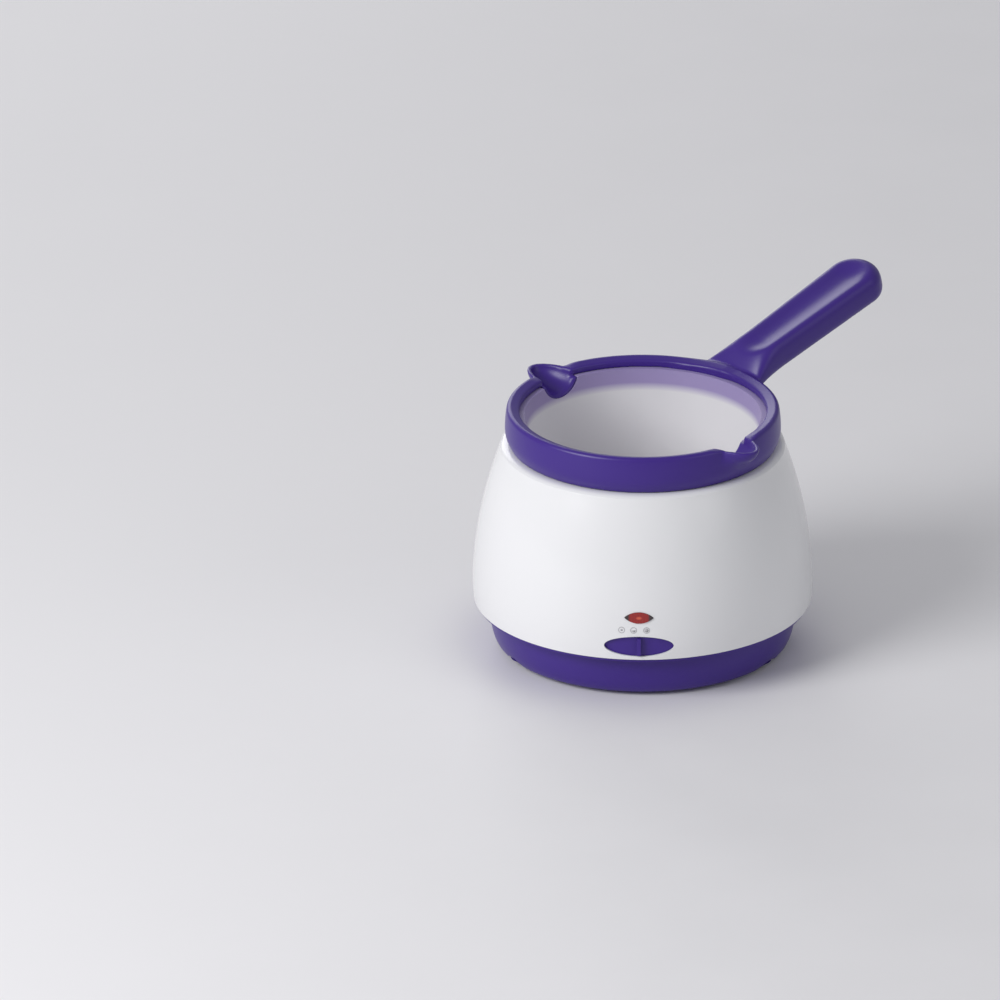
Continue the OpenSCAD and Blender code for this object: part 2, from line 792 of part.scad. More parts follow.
module neon_lamp() {
    stem = 3;
    color([0.95, 0.6, 0.4]) facing_front(lens_back_y - lens_tube_l - stem + 0.3, lens_z)
        rotate_extrude($fn = exact_fn)
            polygon(concat([[0, 0], [lamp_r / 2, 0], [lamp_r, stem - 0.3]],
                           [for (a = [0:22.5:90])
                                [lamp_r * cos(a), lamp_l + stem - 0.7 - lamp_r + lamp_r * sin(a)]]));
}

// A tube of lead_r along a smooth curve through hand-chosen points
function smooth(p, n) = [for (i = [0:len(p) - 2]) for (k = [0:n - 1])
    let (t = k / n, a = p[max(i - 1, 0)], b = p[i], c = p[i + 1], d = p[min(i + 2, len(p) - 1)])
    0.5 * (2 * b + (c - a) * t + (2 * a - 5 * b + 4 * c - d) * t * t
           + (3 * b - a - 3 * c + d) * t * t * t)];

function unit(v) = v / norm(v);

module lead(points, radius) {
    path = concat(smooth(points, 4), [points[len(points) - 1]]);
    last = len(path) - 1;
    rings = [for (i = [0:last])
        let (d = unit(path[min(i + 1, last)] - path[max(i - 1, 0)]),
             side = unit(cross(d, abs(d[2]) > 0.9 ? [1, 0, 0] : [0, 0, 1])),
             up = cross(side, d))
        [for (k = [0:lead_sides - 1])
             let (a = 360 * k / lead_sides)
             path[i] + radius * (side * cos(a) + up * sin(a))]];
    faces = concat(
        [[for (k = [0:lead_sides - 1]) k]],
        [for (i = [0:last - 1]) for (k = [0:lead_sides - 1])
             let (a = i * lead_sides + k, b = i * lead_sides + (k + 1) % lead_sides)
             each [[a, a + lead_sides, b], [b, a + lead_sides, b + lead_sides]]],
        [[for (k = [lead_sides - 1:-1:0]) last * lead_sides + k]]);
    polyhedron([for (r = rings) each r], faces);
}

module mains_lead() {
    x = block_at[0] - block_pitch / 2;
    y = block_at[1] - block_size[1] / 2 - 0.3;
    z = pan_wall + 2 + block_size[2] / 2;
    switch_y = switch_size[2] + switch_pin[1] - guide_y + guide_t;
    color([0.1, 0.1, 0.1])
        lead([[x, y, z], [x - 4, y - 8, z], [-42, 20, lead_floor_z], [-40, -20, lead_floor_z],
              [-24, -44, 12], [-9, switch_y + 6, window_z - 6], [-9, switch_y + 0.5, window_z]], lead_r);
}

module heater_lead() {
    switch_y = switch_size[2] + switch_pin[1] - guide_y + guide_t;
    tab_z = clamp_z - thermostat_flange[2] - thermostat_body_h - thermostat_tab[2] / 2 - lead_r;
    color([0.8, 0.78, 0.72])
        lead([[9, switch_y + 0.5, window_z], [9, switch_y + 6, window_z - 8], [16, -30, 7],
              [thermostat_x + thermostat_tab_x, -8, tab_z - 2], [thermostat_x + thermostat_tab_x, 0, tab_z]], lead_r);
}

module fuse_lead() {
    tab_z = clamp_z - thermostat_flange[2] - thermostat_body_h - thermostat_tab[2] / 2 - lead_r;
    x = thermostat_x - thermostat_tab_x;
    color([0.8, 0.78, 0.72])
        lead([[x, 0, tab_z], [x + 1, 6, tab_z - 2], [14, 14, 9], [13, fuse_y, 14],
              [fuse_l / 2 + 4, fuse_y, fuse_z], [fuse_l / 2 + lead_gap, fuse_y, fuse_z]], lead_r);
}

module lamp_leads() {
    thin_r = lead_r / sqrt(2);
    y = -lens_back_y + lens_tube_l + 3;
    pin_y = switch_size[2] + switch_pin[1] - guide_y + guide_t - 2 * thin_r;
    x = switch_pin_pitch / 2;
    color([0.7, 0.1, 0.1])
        lead([[0, y, lens_z], [0, y + 4, lens_z - 1], [x, pin_y, lens_z - 8],
              [x, pin_y, window_z + 5], [x, pin_y, window_z + thin_r + lead_gap]], thin_r);
}

// Collar ring, cut through its axis
module collar_section() {
    wide = collar_out_r - collar_mid_r;
    foot = collar_wide_z - collar_bottom;
    foot_a = asin(foot / collar_foot_drop);
    polygon(concat(
        [[skirt_r, collar_bottom], [skirt_r, rim_z - bead_t - bead_fit],
         [groove_r, rim_z - bead_t - bead_fit], [groove_r, rim_z + bead_fit],
         [collar_lip_r, rim_z + bead_fit]],
        [for (a = [10:16:90])
             [collar_mid_r - (collar_mid_r - collar_lip_r) * cos(a),
              rim_z + bead_fit + (crest_z - rim_z - bead_fit) * sin(a)]],
        [for (a = [80:-10:0])
             [collar_mid_r + wide * cos(a),
              collar_wide_z + (crest_z - collar_wide_z) * sin(a)]],
        [for (i = [1:4])
             let (a = foot_a * i / 4)
             [collar_mid_r + wide * cos(a), collar_wide_z - collar_foot_drop * sin(a)]]));
}

// Ball-nosed bar along +X: the scoop's hollow, and its outside when thicker
module scoop_bar(r, from) {
    hull() {
        translate([from, 0, scoop_z]) rotate([0, 90, 0]) cylinder(r = r, h = overrun, $fn = 40);
        translate([scoop_nose_r, 0, scoop_z]) sphere(r, $fn = 40);
    }
}

module scoop_outside() {
    shell_r = scoop_r + scoop_wall;
    intersection() {
        scoop_bar(shell_r, tongue_r - overrun);
        difference() {
            cylinder(r = handle_reach, h = scoop_z + scoop_rim, $fn = exact_fn);
            cylinder(r = tongue_r, h = scoop_z + scoop_rim + overrun, $fn = exact_fn);
        }
    }
    hull() {
        intersection() {
            scoop_bar(shell_r, collar_mid_r);
            translate([collar_mid_r, -shell_r, scoop_z])
                cube([handle_reach, 2 * shell_r, scoop_rim]);
        }
        translate([collar_mid_r, -shell_r, collar_wide_z - 2])
            cube([2, 2 * shell_r, scoop_z - collar_wide_z]);
    }
}

module scoop_hollow() {
    scoop_bar(scoop_r, pot_top_r / 2);
    hull() {
        translate([0, 0, 0]) intersection() {
            scoop_bar(scoop_r, pot_top_r / 2);
            translate([0, -scoop_r, scoop_z]) cube([handle_reach, 2 * scoop_r, scoop_r / 8]);
        }
        translate([pot_top_r / 2, -scoop_r - 1, scoop_z + scoop_r])
            cube([scoop_nose_r + scoop_r - pot_top_r / 2, 2 * scoop_r + 2, overrun]);
    }
}

// Frame at distance s along the handle: X runs to its tip
module along_handle(s) {
    rotate([0, 0, handle_az])
        translate([handle_root_r, 0, crest_z - handle_sink_at(s)])
            rotate([0, -handle_slope, 0]) translate([s, 0, 0]) children();
}

// Rounded cross-section, w wide and h deep, top at h/2
module handle_slice(w, h) {
    points = 32;
    power = 2 / 2.9;
    rotate([90, 0, 90]) linear_extrude(handle_h / 100) polygon([for (i = [0:points - 1])
        let (a = 360 * i / points)
        [w / 2 * sign(cos(a)) * pow(abs(cos(a)), power),
         h / 2 * sign(sin(a)) * pow(abs(sin(a)), power)]]);
}

// How far the handle's line dips to meet the collar at its root
function handle_sink_at(s) = handle_sink * pow(1 - min(1, s / handle_flare_l), 2);

function handle_w_at(s) =
    let (t = min(1, s / handle_flare_l), flare = pow(1 - t, 2),
         swell = max(0, s - handle_flare_l) / (handle_len - handle_flare_l),
         end = max(0, s - handle_len + handle_end_l) / handle_end_l)
    (handle_w * (1 + (handle_flare_share - 1) * flare) + (handle_tip_w - handle_w) * swell)
    * sqrt(max(0.02, 1 - end * end));

function handle_h_at(s) =
    let (end = max(0, s - handle_len + handle_end_l) / handle_end_l)
    handle_h * (0.45 + 0.55 * sqrt(max(0, 1 - end * end)));

module handle_body() {
    stops = concat([0, 3, 6, 10, 15, 20], [handle_len * 0.45, handle_len - handle_end_l],
                   [for (a = [20:17.5:90]) handle_len - handle_end_l * (1 - sin(a))]);
    for (i = [0:len(stops) - 2]) hull() {
        along_handle(stops[i]) handle_slice(handle_w_at(stops[i]), handle_h_at(stops[i]));
        along_handle(stops[i + 1]) handle_slice(handle_w_at(stops[i + 1]), handle_h_at(stops[i + 1]));
    }
}

module handle_dish() {
    ends = [[dish_start + handle_w / 2, handle_w], [handle_len - dish_end_gap - handle_tip_w / 2, handle_tip_w]];
    hull() for (end = ends) {
        half_w = end[1] / 2 - dish_edge;
        r = (half_w * half_w + dish_depth * dish_depth) / (2 * dish_depth);
        along_handle(end[0]) translate([0, 0, handle_h / 2 - dish_depth + r]) sphere(r, $fn = 40);
    }
}

module handle_channel() {
    length = handle_len - channel_start - channel_end_gap;
    rib_pitch = length / (channel_ribs + 1);
    difference() {
        hull() for (s = [channel_start, channel_start + length])
            along_handle(s) translate([0, 0, -channel_floor])
                handle_slice(handle_w_at(s) - 2 * channel_wall, handle_h);
        for (i = [1:channel_ribs])
            along_handle(channel_start + i * rib_pitch - channel_rib_t / 2)
                translate([0, -handle_w, -handle_h]) cube([channel_rib_t, 2 * handle_w, 2 * handle_h]);
    }
}

module pot_collar() {
    color([0.27, 0.17, 0.58]) difference() {
        union() {
            rotate_extrude($fn = exact_fn) collar_section();
            for (a = scoop_at) rotate([0, 0, a]) scoop_outside();
            difference() {
                handle_body();
                cylinder(r = collar_mid_r, h = 2 * crest_z, $fn = exact_fn);
            }
        }
        for (a = scoop_at) rotate([0, 0, a]) scoop_hollow();
        handle_dish();
        handle_channel();
    }
}

module liner_section() {
    outer = bowl(liner_wall, liner_floor, rim_z - bead_t);
    inner = bowl(0, 0, rim_z);
    bead_r = pot_top_r + liner_wall + bead_reach;
    polygon(concat(
        outer,
        [[bead_r, rim_z - bead_t], [bead_r, rim_z]],
        [for (i = [len(inner) - 1:-1:0]) inner[i]]));
}

module silicone_liner() {
    notch_r = scoop_r + scoop_wall + bead_fit;
    color([0.94, 0.94, 0.93]) difference() {
        rotate_extrude($fn = exact_fn) liner_section();
        for (a = scoop_at) rotate([0, 0, a])
            translate([pot_top_r / 2, 0, scoop_z]) rotate([0, 90, 0])
                cylinder(r = notch_r, h = pot_top_r, $fn = exact_fn);
    }
}

outer_housing();
base_pan();
rubber_feet();
housing_screws();
heating_well();
heating_element();
insulation_pad();
heater_clamp();
clamp_nuts();
clamp_screws();
melt_thermostat();
warm_thermostat();
thermal_fuse();
fuse_clip();
terminal_block();
cord_gland();
switch_bracket();
switch_body();
switch_toggle();
bracket_screws();
selector_slider();
indicator_lens();
lens_retainer();
neon_lamp();
mains_lead();
heater_lead();
fuse_lead();
lamp_leads();
pot_collar();
silicone_liner();
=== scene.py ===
import math

import bpy
import numpy as np
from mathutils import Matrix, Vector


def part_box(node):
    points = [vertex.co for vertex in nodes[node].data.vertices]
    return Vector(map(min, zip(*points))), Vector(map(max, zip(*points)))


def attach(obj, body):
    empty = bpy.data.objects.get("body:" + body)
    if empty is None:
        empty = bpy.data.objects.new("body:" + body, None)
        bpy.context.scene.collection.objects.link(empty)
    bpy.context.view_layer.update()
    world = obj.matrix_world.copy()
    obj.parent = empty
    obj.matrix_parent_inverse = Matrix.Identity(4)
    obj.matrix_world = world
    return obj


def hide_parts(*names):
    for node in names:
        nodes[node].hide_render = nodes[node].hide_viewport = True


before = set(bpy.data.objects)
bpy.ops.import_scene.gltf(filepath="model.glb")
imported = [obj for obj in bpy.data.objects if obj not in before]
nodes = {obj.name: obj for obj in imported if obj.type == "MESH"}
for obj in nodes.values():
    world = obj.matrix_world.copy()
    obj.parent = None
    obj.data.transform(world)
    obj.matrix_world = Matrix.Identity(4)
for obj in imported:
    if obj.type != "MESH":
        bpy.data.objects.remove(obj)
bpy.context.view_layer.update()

import openvdb
from mathutils import Matrix, Vector

# Sizes are in millimetres unless a comment says otherwise
MM = 0.001
tiny = 1e-12

# Camera: the photograph's view of the object, in its pixels and in metres
photo_side = 1000
photo_px_per_m = 2058
axis_foot_px = (642.5, 638.7)
camera_az = 1.5
camera_el = 22.95
camera_distance = 15.0
camera_far = 60.0
sensor_mm = 36.0

# Studio, in metres and watts: each lamp's place, width and power
lamps = {"key": ((-1.3, -1.0, 1.1), 1.1, 25),
         "fill": ((1.5, -0.9, 0.9), 1.4, 3),
         "rim": ((-0.6, 1.8, 0.8), 1.2, 7)}
lamp_aim = (0, 0, 0.07)
floor_half = 9.0
world_colour = (0.86, 0.87, 0.9)
world_strength = 0.44

# Liner: its bead lies in the collar's groove, and its top has a painted lavender tint for the purple ring
# showing through it
rim_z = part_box("silicone_liner")[1].z / MM
pot_top_r = 57.5
pot_depth = 85.3
pot_taper = 12.5
liner_wall = 2.2
bead_t = 2.8
bead_reach = 3.0
bead_fit = 0.25
painted_tint_start = 10.5
painted_tint_full = 6.5

# Ring of the collar
collar_low, collar_high = (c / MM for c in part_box("pot_collar"))
collar_out_r = -collar_low.x
collar_bottom = collar_low.z
collar_mesh_step = 0.7
crest_rise = 4.6
crest_z = rim_z + crest_rise
crest_in = 2.7
crest_r = collar_out_r - crest_in
crest_round = 2.0
crest_steps = 12
lip_in = 2.5
lip_r = pot_top_r + lip_in
lip_round = 1.2
lip_steps = 8
top_slope = 18
shoulder_deg = 10
wide_rise = 7.2
foot_in = 2.4
wall_steps = 10
ring_mid_r = (crest_r + lip_r) / 2
skirt_gap = 0.5
skirt_r = pot_top_r + liner_wall + skirt_gap
groove_r = pot_top_r + liner_wall + bead_reach + bead_fit

# Pouring scoops, and how they blend into the ring
handle_az = 46
scoop_az = (handle_az + 90, handle_az - 90)
scoop_r = 10.0
scoop_wall = 2.1
scoop_mid_r = 52.0
scoop_nose_l = 23.0
scoop_nose_steps = 24
scoop_drop = 1.0
scoop_z = crest_z - scoop_drop
scoop_top_round = 0.5
scoop_bore_round = 0.6
scoop_fillet = 4.5
scoop_fillet_l = 6.0
scoop_fillet_least = 0.15
scoop_edge_round = 0.8
scoop_edge_more = 0.9
scoop_edge_r = 69.0
blend_l = 3.0
blend_in = 2.0

# Dip of the ring's crest on each side of a scoop
dip_l = 8.0
dip_end = 22.0
dip_clear = 0.6
dip_rise = 2.0
dip_round = 1.0

# Handle, with the dish in its top and the ribbed channel underneath
handle_root_r = 65.4
handle_rise = 0.5
handle_z = crest_z + handle_rise
handle_root_drop = 1.6
handle_reach = 157.0
handle_slope = math.radians(15.4)
handle_len = (handle_reach - handle_root_r) / math.cos(handle_slope)
handle_w = 24.8
handle_tip_w = 29.5
handle_h = 18.8
handle_flare_l = 20.0
handle_flare_share = 0.5
handle_end_l = 13.0
root_fillet = 2.5
root_fillet_more = 2.0
root_fillet_l = 6.0
slice_power = 2.9
dish_depth = 3.8
dish_edge = 1.4
dish_round = 2.4
dish_start = 5.0
dish_end_gap = 4.0
channel_wall = 2.6
channel_floor = 7.0
channel_round = 0.6
channel_end_round = 1.0
channel_start = 14.0
channel_end_gap = 9.0
channel_ribs = 4
channel_rib_t = 1.6
channel_rib_in = 3.5

# Base pan: its wall swells out to the photographed foot
pan_h = 20.5
pan_foot_r = 64.0
pan_r = 74.6
pan_seen_foot_r = 69.5
pan_skin = 0.45
pan_floor_fit = 0.01

# Printed marks over the selector
mark_px_x = (625.2, 637.2, 650.1)
mark_z = 37.6
mark_r = 1.6
mark_line = 0.28
mark_dot_r = mark_r / 3
mark_disc_r = 0.96
mark_lift = 0.04
mark_weld = 0.01

# Lamp lens: where the painted shade of its corners starts and is full, and its painted glowing middle
lens_painted_shade_start = 4.2
lens_painted_shade_full = 5.4
painted_glow_w = 1.7
painted_glow_h = 0.9

# Faces that meet at less than this angle are shaded as one surface
crease_deg = 25


# Distances and meshes
def smooth_min(a, b, k):
    h = np.clip(0.5 + 0.5 * (b - a) / k, 0, 1)
    return b * (1 - h) + a * h - k * h * (1 - h)


def smooth_max(a, b, k):
    return -smooth_min(-a, -b, k)


def arc(count, first, last):
    return [math.radians(first + (last - first) * i / count) for i in range(count + 1)]


def polygon_distance(points, x, y):
    """Signed distance from (x, y) to a closed polygon, negative inside."""
    best = np.full(x.shape, np.inf)
    inside = np.zeros(x.shape, bool)
    for (ax, ay), (bx, by) in zip(points, points[1:] + points[:1]):
        ex, ey = bx - ax, by - ay
        px, py = x - ax, y - ay
        t = np.clip((px * ex + py * ey) / (ex * ex + ey * ey), 0, 1)
        best = np.minimum(best, (px - t * ex) ** 2 + (py - t * ey) ** 2)
        if ay != by:
            inside ^= ((ay > y) != (by > y)) & (px < ex * py / ey)
    return np.where(inside, -1, 1) * np.sqrt(best)


class Section:
    """Signed distance to a flat outline, read from a fine table."""

    # Keeps a place's next entry within the table
    short_of_end = 1.01

    def __init__(self, points, step=0.15, margin=6):
        xs, ys = zip(*points)
        self.origin = (min(xs) - margin, min(ys) - margin)
        self.step = step
        nx = int((max(xs) + margin - self.origin[0]) / step) + 2
        ny = int((max(ys) + margin - self.origin[1]) / step) + 2
        gx, gy = np.meshgrid(self.origin[0] + step * np.arange(nx),
                             self.origin[1] + step * np.arange(ny), indexing="ij")
        self.table = polygon_distance(points, gx, gy)

    def __call__(self, x, y):
        u = (x - self.origin[0]) / self.step
        v = (y - self.origin[1]) / self.step
        last_u, last_v = (n - self.short_of_end for n in self.table.shape)
        over = np.hypot(np.maximum(0, np.maximum(-u, u - last_u)),
                        np.maximum(0, np.maximum(-v, v - last_v)))
        u = np.clip(u, 0, last_u)
        v = np.clip(v, 0, last_v)
        i, j = u.astype(int), v.astype(int)
        fu, fv = u - i, v - j
        t = self.table
        low = t[i, j] * (1 - fu) + t[i + 1, j] * fu
        high = t[i, j + 1] * (1 - fu) + t[i + 1, j + 1] * fu
        return low * (1 - fv) + high * fv + self.step * over


def along(x, y, azimuth):
    """Coordinates along and across a horizontal direction."""
    a = math.radians(azimuth)
    return x * math.cos(a) + y * math.sin(a), y * math.cos(a) - x * math.sin(a)


def settle(points, distance, eps=0.05, least_slope=0.25, most_step=0.4):
    """One step of every point towards the surface, along its gradient."""
    x, y, z = points.T
    d = distance(x, y, z)
    grad = np.stack([distance(x + eps, y, z) - distance(x - eps, y, z),
                     distance(x, y + eps, z) - distance(x, y - eps, z),
                     distance(x, y, z + eps) - distance(x, y, z - eps)], 1) / (2 * eps)
    size = np.maximum(np.sum(grad * grad, 1), least_slope)
    return points - grad * np.clip(d / size, -most_step, most_step)[:, None]


def finished(name, mesh):
    mesh.polygons.foreach_set("use_smooth", [True] * len(mesh.polygons))
    obj = bpy.data.objects.new(name, mesh)
    bpy.context.scene.collection.objects.link(obj)
    return obj


def solid_from(name, distance, low, high, step, band=3, rounds=3):
    """A smooth mesh of the surface where distance(x, y, z), in mm, is zero."""
    margin = band * step
    start = [c - margin for c in low]
    counts = [int((b - a + 2 * margin) / step) + 1 for a, b in zip(low, high)]
    axes = [s + step * np.arange(n) for s, n in zip(start, counts)]
    gx, gy = np.meshgrid(axes[0], axes[1], indexing="ij")
    field = np.empty(counts, np.float32)
    for k, z in enumerate(axes[2]):
        field[:, :, k] = distance(gx, gy, np.full_like(gx, z))
    grid = openvdb.FloatGrid(background=margin)
    grid.copyFromArray(np.clip(field, -margin, margin))
    points, triangles, quads = grid.convertToPolygons(0.0, 0.0)
    points = np.array(start) + step * points.astype(float)
    for _ in range(rounds):
        points = settle(points, distance)
    faces = [tuple(int(i) for i in f[::-1]) for part in (quads, triangles) for f in part]
    mesh = bpy.data.meshes.new(name)
    mesh.from_pydata([tuple(p * MM) for p in points], [], faces)
    mesh.validate()
    return finished(name, mesh)


# Collar
def ring_top():
    """The ring's inner lip, its sloping top and its crest, down to the shoulder."""
    turn = math.radians(90 + top_slope)
    crest_mid_z = crest_z - crest_round
    lip_mid_r = lip_r + lip_round
    lip_mid_z = (crest_mid_z + (math.cos(turn) * (crest_r - lip_mid_r) + crest_round - lip_round)
                 / math.sin(turn))
    lip = [(lip_mid_r + lip_round * math.cos(a), lip_mid_z + lip_round * math.sin(a))
           for a in arc(lip_steps, 180, 90 + top_slope)]
    crest = [(crest_r + crest_round * math.cos(a), crest_mid_z + crest_round * math.sin(a))
             for a in arc(crest_steps, 90 + top_slope, shoulder_deg)]
    return [(lip_r, rim_z + bead_fit)] + lip + crest


def ring_section():
    """The ring cut through its axis, with the liner's groove in its inside."""
    top = ring_top()
    shoulder_r, shoulder_z = top[-1]
    wide_z = collar_bottom + wide_rise
    steps = [i / wall_steps for i in range(1, wall_steps + 1)]
    return ([(skirt_r, collar_bottom), (skirt_r, rim_z - bead_t - bead_fit),
             (groove_r, rim_z - bead_t - bead_fit), (groove_r, rim_z + bead_fit)] + top
            + [(collar_out_r - (collar_out_r - shoulder_r) * (1 - t) ** 2,
                shoulder_z + (wide_z - shoulder_z) * t) for t in steps]
            + [(collar_out_r - foot_in * t * t, wide_z - wide_rise * t) for t in steps])


def bore_section():
    """The space inside the liner and the ring, up past its crest."""
    inner = ring_top()[:lip_steps + 2]
    liner_r = pot_top_r + bead_fit / 2
    low_r = liner_r - (rim_z - collar_bottom) * (pot_taper / pot_depth)
    return ([(-low_r, collar_bottom), (low_r, collar_bottom), (liner_r, rim_z)] + inner
            + [(crest_r, crest_z), (crest_r, crest_z + lip_r), (-lip_r, crest_z + lip_r)])


def scoop_section(skin):
    """A gutter that rounds off to a blunt nose, seen from above."""
    r = scoop_r + skin
    edge = [(scoop_mid_r + (scoop_nose_l + skin) * math.cos(a), r * math.sin(a))
            for a in arc(scoop_nose_steps, 90, 0)]
    start = pot_top_r / 2
    return [(start, -r), (start, r)] + edge + [(u, -q) for u, q in edge[-2::-1]]


ring = Section(ring_section())
bore = Section(bore_section())
scoop_hollow = Section(scoop_section(0))
scoop_outside = Section(scoop_section(scoop_wall))


def scoop_distance(section, x, y, z, azimuth):
    """Distance to a gutter that goes on straight up above its rim."""
    u, v = along(x, y, azimuth)
    return section(u, np.hypot(v, np.minimum(z - scoop_z, 0)))


def handle_distance(x, y, z):
    """Distance to the handle, which flares to one side and thins at its root."""
    u, v = along(x, y, handle_az)
    du, dz = u - handle_root_r, z - handle_z
    s = du * math.cos(handle_slope) + dz * math.sin(handle_slope)
    left = (1 - np.clip(s / handle_flare_l, 0, 1)) ** 2
    sink = handle_h / 2 * left
    flare = handle_w * handle_flare_share * left
    s = s + sink / 2 * math.sin(handle_slope)
    v = v - flare / 2
    w = (dz + sink / 2 + handle_root_drop * left) * math.cos(handle_slope) - du * math.sin(handle_slope)
    swell = np.clip((s - handle_flare_l) / (handle_len - handle_flare_l), 0, 1)
    half_w = (handle_w + flare + (handle_tip_w - handle_w) * swell) / 2
    half_h = (handle_h - sink) / 2
    end = np.maximum(0, s - handle_len + handle_end_l) / handle_end_l
    body = rounded(np.hypot(v / half_w, end), w / half_h) * np.minimum(half_w, half_h)
    body = smooth_max(body, -dish_distance(s, v, w), dish_round)
    body = smooth_max(body, -channel_distance(s, v, w, half_w), channel_round)
    return np.maximum(body, ring_mid_r - np.hypot(x, y))


def rounded(a, b):
    """How far outside a unit outline with rounded corners (a, b) lies."""
    return (np.abs(a) ** slice_power + np.abs(b) ** slice_power) ** (1 / slice_power) - 1


def dish_distance(s, v, w):
    """The broad thumb dish in the handle's top."""
    first = dish_start + handle_w / 2
    last = handle_len - dish_end_gap - handle_tip_w / 2
    share = np.clip((s - first) / (last - first), 0, 1)
    half = (handle_w + (handle_tip_w - handle_w) * share) / 2 - dish_edge
    r = (half * half + dish_depth * dish_depth) / (2 * dish_depth)
    beyond = s - np.clip(s, first, last)
    return np.sqrt(v * v + beyond * beyond + (w - handle_h / 2 + dish_depth - r) ** 2) - r


def channel_distance(s, v, w, half_w):
    """The ribbed channel in the handle's underside."""
    length = handle_len - channel_start - channel_end_gap
    pitch = length / (channel_ribs + 1)
    half_h = handle_h / 2
    pocket = rounded(v / (half_w - channel_wall), (w + channel_floor) / half_h) * half_h
    ends = np.abs(s - channel_start - length / 2) - length / 2
    pocket = smooth_max(pocket, ends, channel_end_round)
    rib = np.abs(np.mod(s - channel_start + pitch / 2, pitch) - pitch / 2) - channel_rib_t / 2
    rib = np.maximum(rib, channel_rib_in - half_h - w)
    return np.maximum(pocket, -rib)


def dipped(d, x, y, z, azimuth):
    """The distance d with the ring's crest run down gently to a scoop's rim."""
    u, v = along(x, y, azimuth)
    away = np.clip((np.abs(v) - scoop_r) / dip_l, 0, 1)
    top = scoop_z + (crest_z + dip_clear - scoop_z) * away * away * (3 - 2 * away)
    top = top + dip_rise * np.maximum(0, np.abs(v) - dip_end)
    return np.where(u > 0, smooth_max(d, z - top, dip_round), d)


def collar_distance(x, y, z):
    r = np.hypot(x, y)
    left = np.clip(along(x, y, handle_az)[1] / root_fillet_l, 0, 1)
    d = smooth_min(ring(r, z), handle_distance(x, y, z), root_fillet + root_fillet_more * left)
    outer = np.clip((r - ring_mid_r + blend_in) / blend_l, 0, 1)
    fillet = scoop_fillet * np.clip((scoop_z - z) / scoop_fillet_l, scoop_fillet_least, 1)
    inside_bore = bore(r, z)
    for azimuth in scoop_az:
        tube = scoop_distance(scoop_outside, x, y, z, azimuth)
        tube = smooth_max(tube, z - scoop_z, scoop_top_round)
        tube = smooth_max(tube, -inside_bore, scoop_bore_round)
        d = smooth_min(d, tube, fillet) * outer + np.minimum(d, tube) * (1 - outer)
    edge = scoop_edge_round + scoop_edge_more * np.clip((scoop_edge_r - r) / blend_l, 0, 1)
    for azimuth in scoop_az:
        d = dipped(d, x, y, z, azimuth)
        d = smooth_max(d, -scoop_distance(scoop_hollow, x, y, z, azimuth), edge)
    return d


def build_collar():
    scoop_reach = scoop_mid_r + scoop_nose_l + scoop_wall
    low = (-scoop_reach, -scoop_reach, collar_bottom)
    return solid_from("pot_collar_moulding", collar_distance, low, collar_high, collar_mesh_step)


# Base pan and shading
def build_pan():
    """The pan with its wall swelled out at the foot, its inside as it is."""
    mesh = nodes["base_pan"].data.copy()
    for vertex in mesh.vertices:
        z = vertex.co.z / MM
        r = math.hypot(vertex.co.x, vertex.co.y) / MM
        if not -pan_floor_fit < z < pan_h:
            continue
        rise = math.sqrt(max(0, 1 - (1 - z / pan_h) ** 2))
        wall_r = pan_foot_r + (pan_r - pan_foot_r) * rise
        if abs(r - wall_r) < pan_skin:
            grown = (r + (pan_seen_foot_r - pan_foot_r) * (1 - rise)) / r
            vertex.co.x *= grown
            vertex.co.y *= grown
    return finished("base_pan_moulding", mesh)


def soften(obj, degrees):
    """Shades faces that meet at less than this angle as one smooth surface."""
    mesh = obj.data
    spots = np.array([v.co for v in mesh.vertices])
    corners = np.array([p.vertices[:] for p in mesh.polygons])
    faces = np.array([p.normal for p in mesh.polygons])
    place = spots[corners]
    ahead = np.roll(place, -1, 1) - place
    back = np.roll(place, 1, 1) - place
    lengths = np.linalg.norm(ahead, axis=2) * np.linalg.norm(back, axis=2) + tiny
    angles = np.arccos(np.clip(np.sum(ahead * back, 2) / lengths, -1, 1)).ravel()
    normals = np.repeat(faces, 3, 0)
    micrometres = np.round(spots[corners.ravel()] / MM ** 2)
    _, group = np.unique(micrometres, axis=0, return_inverse=True)
    group = group.ravel()
    order = np.argsort(group, kind="stable")
    smooth = np.empty_like(normals)
    limit = math.cos(math.radians(degrees))
    for members in np.split(order, np.flatnonzero(np.diff(group[order])) + 1):
        n = normals[members]
        smooth[members] = (n @ n.T > limit) @ (n * angles[members, None])
    smooth /= np.linalg.norm(smooth, axis=1, keepdims=True) + tiny
    mesh.polygons.foreach_set("use_smooth", [True] * len(mesh.polygons))
    mesh.normals_split_custom_set([tuple(n) for n in smooth])


# Printed marks
def ring_faces(inner, outer, count=28, first=0, last=360):
    """Points and faces of a flat ring, or of a disc where inner is zero."""
    angles = arc(count, first, last)
    points = [(r * math.cos(a), r * math.sin(a)) for a in angles for r in (inner, outer)]
    faces = [(2 * i, 2 * i + 1, 2 * i + 3, 2 * i + 2) for i in range(count)]
    return points, faces


